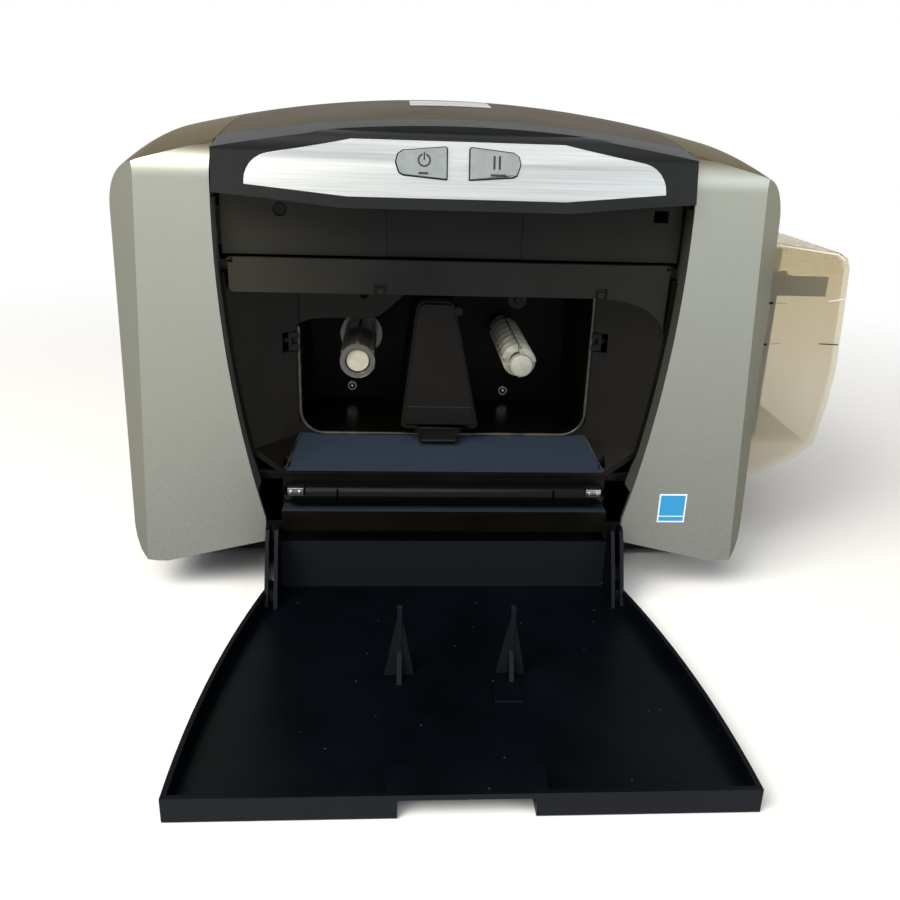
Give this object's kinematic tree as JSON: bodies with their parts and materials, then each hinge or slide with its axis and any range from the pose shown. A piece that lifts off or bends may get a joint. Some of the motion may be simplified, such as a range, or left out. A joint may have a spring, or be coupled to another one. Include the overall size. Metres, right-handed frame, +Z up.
{
  "type": "id card printer",
  "caption": "Desktop card printer with silver curved side panels, black lid, leaning key panel, fold-down front door, ribbon bay and side card hopper.",
  "frame": {"origin": "middle of the footprint with the front door open, on the table", "axes": "+X to the right seen from the front, +Y to the back, +Z up"},
  "size_m": [0.3472, 0.3522, 0.225],
  "materials": {
    "silver_case": "satin metallic silver paint on moulded plastic",
    "black_case": "fine satin black moulding",
    "black_gloss": "glossy black moulding",
    "door_black": "polished black moulding",
    "brushed_plate": "brushed aluminium, fine grain along its length",
    "button_grey": "satin light grey moulding",
    "mark_black": "printed mark with a small lamp",
    "board_green": "solder mask on a circuit board",
    "chassis_steel": "zinc plated sheet steel",
    "pan_dark": "dark powder paint on sheet steel",
    "foot_rubber": "soft rubber",
    "bright_steel": "bright turned steel",
    "clear_smoke": "smoke-tinted moulding",
    "ivory_core": "ivory moulding",
    "white_moulding": "white moulding",
    "roller_rubber": "ground roller rubber",
    "head_grey": "cast and machined block",
    "motor_grey": "motor can, painted",
    "brass_pulley": "turned brass",
    "belt_rubber": "toothed rubber belt",
    "smoky_cover": "translucent smoky moulding",
    "label_blue": "plain printed label, blue with a white border"
  },
  "bodies": {
    "case": {"base_pan": "pan_dark", "feet": "foot_rubber", "left_frame": "chassis_steel", "right_frame": "chassis_steel", "left_side_panel": "silver_case", "right_side_panel": "silver_case", "top_bridge": "chassis_steel", "top_lid": "black_case", "nameplate": "brushed_plate", "fascia": "black_case", "control_plate": "brushed_plate", "button_board": "board_green", "header_panel": "black_gloss", "upper_rail": "black_gloss", "rail_pins": "bright_steel", "bay_housing": "black_gloss", "chassis_plate": "pan_dark", "guide_wheel": "bright_steel", "bay_screws": "bright_steel", "printhead_tower": "black_case", "tower_cover": "black_case", "printhead": "head_grey", "front_frame": "black_gloss", "rest_bar": "black_gloss", "bar_contacts": "bright_steel", "hinge_pins": "bright_steel", "drive_motor": "motor_grey", "drive_belt": "belt_rubber", "main_board": "board_green", "rear_cover": "black_case", "power_inlet": "black_gloss", "data_socket": "bright_steel", "hopper_base": "black_case", "hopper_pin": "bright_steel", "side_label": "label_blue"},
    "door": {"front_door": "door_black"},
    "power_key": {"power_button": "button_grey", "power_mark": "mark_black"},
    "pause_key": {"pause_button": "button_grey", "pause_mark": "mark_black"},
    "takeup": {"takeup_spindle": "clear_smoke", "takeup_core": "ivory_core", "takeup_gear": "white_moulding"},
    "supply": {"supply_spindle": "white_moulding", "supply_gear": "white_moulding"},
    "platen": {"platen_roller": "roller_rubber", "platen_shaft": "bright_steel", "platen_pulley": "white_moulding"},
    "feed_left": {"left_feed_roller": "roller_rubber"},
    "feed_right": {"right_feed_roller": "roller_rubber"},
    "pinion": {"motor_pinion": "brass_pulley"},
    "catch_left": {"left_catch": "black_gloss"},
    "catch_right": {"right_catch": "black_gloss"},
    "release": {"release_tab": "black_gloss"},
    "hopper_lid": {"hopper_cover": "smoky_cover"},
    "weight": {"card_weight": "black_case"}
  },
  "joints": [
    {"name": "door_hinge", "type": "hinge", "parent": "case", "child": "door", "pos_m": [-0.0244, -0.01135, 0.014], "axis": [-1, 0, 0], "range_deg": [0, 90]},
    {"name": "power_press", "type": "slide", "parent": "case", "child": "power_key", "axis": [0, 0.9781, -0.2079], "range_m": [0, 0.001], "stiffness_N_per_m": 800},
    {"name": "pause_press", "type": "slide", "parent": "case", "child": "pause_key", "axis": [0, 0.9781, -0.2079], "range_m": [0, 0.001], "stiffness_N_per_m": 800},
    {"name": "takeup_spin", "type": "hinge", "parent": "case", "child": "takeup", "pos_m": [-0.0668, 0.03515, 0.11], "axis": [0, 1, 0], "continuous": true},
    {"name": "supply_spin", "type": "hinge", "parent": "case", "child": "supply", "pos_m": [0.0096, 0.03515, 0.11], "axis": [0, 1, 0], "continuous": true},
    {"name": "platen_spin", "type": "hinge", "parent": "case", "child": "platen", "pos_m": [-0.0286, 0.03515, 0.0583], "axis": [0, 1, 0], "continuous": true},
    {"name": "feed_left_spin", "type": "hinge", "parent": "case", "child": "feed_left", "pos_m": [-0.1166, 0.03515, 0.0603], "axis": [0, 1, 0], "continuous": true},
    {"name": "feed_right_spin", "type": "hinge", "parent": "case", "child": "feed_right", "pos_m": [0.0594, 0.03515, 0.0603], "axis": [0, 1, 0], "continuous": true},
    {"name": "pinion_spin", "type": "hinge", "parent": "case", "child": "pinion", "pos_m": [-0.0226, 0.08115, 0.036], "axis": [0, 1, 0], "continuous": true},
    {"name": "catch_left_slide", "type": "slide", "parent": "case", "child": "catch_left", "axis": [-1, 0, 0], "range_m": [0, 0.0015], "stiffness_N_per_m": 500},
    {"name": "catch_right_slide", "type": "slide", "parent": "case", "child": "catch_right", "axis": [1, 0, 0], "range_m": [0, 0.0015], "stiffness_N_per_m": 500},
    {"name": "release_slide", "type": "slide", "parent": "case", "child": "release", "axis": [0, 0, 1], "range_m": [0, 0.0012], "stiffness_N_per_m": 400},
    {"name": "hopper_hinge", "type": "hinge", "parent": "case", "child": "hopper_lid", "pos_m": [0.1292, 0.06315, 0.0364], "axis": [0, 1, 0], "range_deg": [0, 75]},
    {"name": "weight_slide", "type": "slide", "parent": "case", "child": "weight", "axis": [0, 0, -1], "range_m": [0, 0.066]}
  ],
  "couplings": [
    {"joint": "feed_left_spin", "follows": "platen_spin", "ratio": 1.3333},
    {"joint": "feed_right_spin", "follows": "platen_spin", "ratio": 1.3333},
    {"joint": "pinion_spin", "follows": "platen_spin", "ratio": 1}
  ]
}
